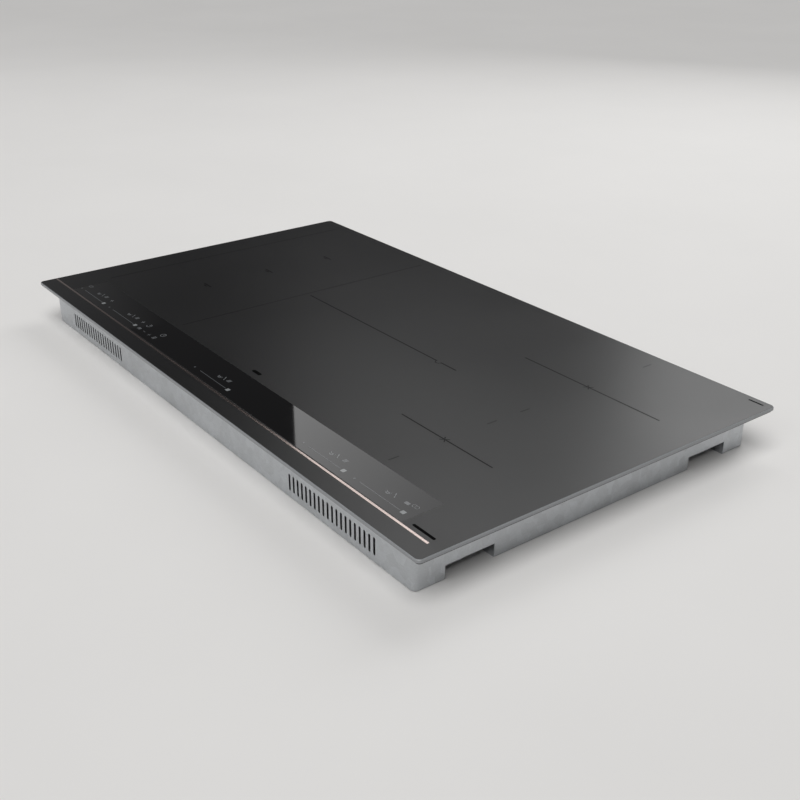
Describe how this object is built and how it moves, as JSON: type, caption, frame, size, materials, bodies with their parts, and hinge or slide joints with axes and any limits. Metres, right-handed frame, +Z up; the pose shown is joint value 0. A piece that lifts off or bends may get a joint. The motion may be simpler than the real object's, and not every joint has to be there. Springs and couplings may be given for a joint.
{
  "type": "electric induction cooktop",
  "caption": "Wide built-in induction hob: matt dark glass with a gloss control strip and copper line, on a vented steel casing with coils, blowers and swing clamps.",
  "frame": {"origin": "bottom centre of the whole hob, on the underside of its steel casing", "axes": "+X to the user's right, +Y to the rear, +Z up; the touch controls face -Y"},
  "size_m": [0.9, 0.51, 0.0551],
  "materials": {
    "coated_glass": "matte dark grey printed glass ceramic with a gloss strip",
    "copper_metal": "polished rose copper",
    "foam_tape": "closed-cell foam, matt",
    "silicone": "cured adhesive, satin",
    "frame_aluminium": "rolled aluminium, satin",
    "zinc_steel": "zinc-coated sheet steel with fine spangle",
    "screw_steel": "zinc-plated steel",
    "clamp_steel": "zinc-plated strip",
    "dark_plastic": "moulded, fine texture",
    "blower_plastic": "moulded, fine texture",
    "impeller_plastic": "moulded",
    "pale_plastic": "heat-resistant moulding",
    "litz_copper": "twisted enamelled copper strands",
    "ferrite": "sintered, matt",
    "mica_felt": "pressed fibre felt",
    "plate_aluminium": "sheet, satin",
    "circuit_board": "lacquered laminate",
    "board_black": "lacquered laminate",
    "component_black": "moulded resin",
    "film_box": "moulded box",
    "can_aluminium": "sleeved can",
    "choke_winding": "enamelled wire on a ring",
    "relay_plastic": "moulded box",
    "led_plastic": "milky light guide",
    "key_foam": "conductive foam",
    "flat_cable": "flat ribbon",
    "brass": "machined",
    "sensor_cap": "drawn cap",
    "spring_steel": "drawn wire"
  },
  "bodies": {
    "hob": {"base_tray": "zinc_steel", "blower_housing_left": "blower_plastic", "blower_housing_right": "blower_plastic", "board_feet": "pale_plastic", "bond_bead": "silicone", "cable_clamp": "dark_plastic", "chokes": "choke_winding", "clamp_nuts": "screw_steel", "clamp_screws": "screw_steel", "coil_former_centre": "pale_plastic", "coil_former_front_left": "pale_plastic", "coil_former_front_right": "pale_plastic", "coil_former_rear_left": "pale_plastic", "coil_former_rear_right": "pale_plastic", "coil_plate_centre": "plate_aluminium", "coil_plate_left": "plate_aluminium", "coil_plate_right": "plate_aluminium", "copper_trim": "copper_metal", "electrolytic_capacitors": "can_aluminium", "ferrites_centre": "ferrite", "ferrites_front_left": "ferrite", "ferrites_front_right": "ferrite", "ferrites_rear_left": "ferrite", "ferrites_rear_right": "ferrite", "film_capacitors": "film_box", "filter_board": "circuit_board", "frame_screws": "screw_steel", "glass_frame": "frame_aluminium", "glass_plate": "coated_glass", "heatsinks": "plate_aluminium", "insulation_pads": "mica_felt", "led_bars": "led_plastic", "plate_posts": "screw_steel", "plate_screws": "screw_steel", "power_boards": "circuit_board", "relays": "relay_plastic", "ribbon_cable": "flat_cable", "sealing_tape": "foam_tape", "sensor_springs": "spring_steel", "temperature_sensors": "sensor_cap", "terminal_block": "pale_plastic", "terminal_box": "dark_plastic", "terminal_screws": "screw_steel", "terminal_sleeves": "brass", "touch_board": "board_black", "touch_carrier": "pale_plastic", "touch_keys": "key_foam", "transistors": "component_black", "winding_centre": "litz_copper", "winding_front_left": "litz_copper", "winding_front_right": "litz_copper", "winding_rear_left": "litz_copper", "winding_rear_right": "litz_copper"},
    "clamp_front_left": {"clamp_front_left": "clamp_steel"},
    "clamp_front_right": {"clamp_front_right": "clamp_steel"},
    "clamp_rear_left": {"clamp_rear_left": "clamp_steel"},
    "clamp_rear_right": {"clamp_rear_right": "clamp_steel"},
    "terminal_lid": {"terminal_lid": "dark_plastic"},
    "impeller_left": {"impeller_left": "impeller_plastic"},
    "impeller_right": {"impeller_right": "impeller_plastic"}
  },
  "joints": [
    {"name": "clamp_front_left_turn", "type": "hinge", "parent": "hob", "child": "clamp_front_left", "pos_m": [-0.404, -0.19, 0.005], "axis": [0, 0, 1], "range_deg": [0, 90]},
    {"name": "clamp_front_right_turn", "type": "hinge", "parent": "hob", "child": "clamp_front_right", "pos_m": [0.404, -0.19, 0.005], "axis": [0, 0, -1], "range_deg": [0, 90]},
    {"name": "clamp_rear_left_turn", "type": "hinge", "parent": "hob", "child": "clamp_rear_left", "pos_m": [-0.404, 0.19, 0.005], "axis": [0, 0, -1], "range_deg": [0, 90]},
    {"name": "clamp_rear_right_turn", "type": "hinge", "parent": "hob", "child": "clamp_rear_right", "pos_m": [0.404, 0.19, 0.005], "axis": [0, 0, 1], "range_deg": [0, 90]},
    {"name": "impeller_left_spin", "type": "hinge", "parent": "hob", "child": "impeller_left", "pos_m": [-0.287, 0.15, 0.014], "axis": [0, 0, 1], "continuous": true},
    {"name": "impeller_right_spin", "type": "hinge", "parent": "hob", "child": "impeller_right", "pos_m": [0.287, 0.15, 0.014], "axis": [0, 0, 1], "continuous": true},
    {"name": "terminal_lid_hinge", "type": "hinge", "parent": "hob", "child": "terminal_lid", "pos_m": [-0.1867, 0.2388, 0.025], "axis": [1, 0, 0], "range_deg": [0, 90]}
  ]
}
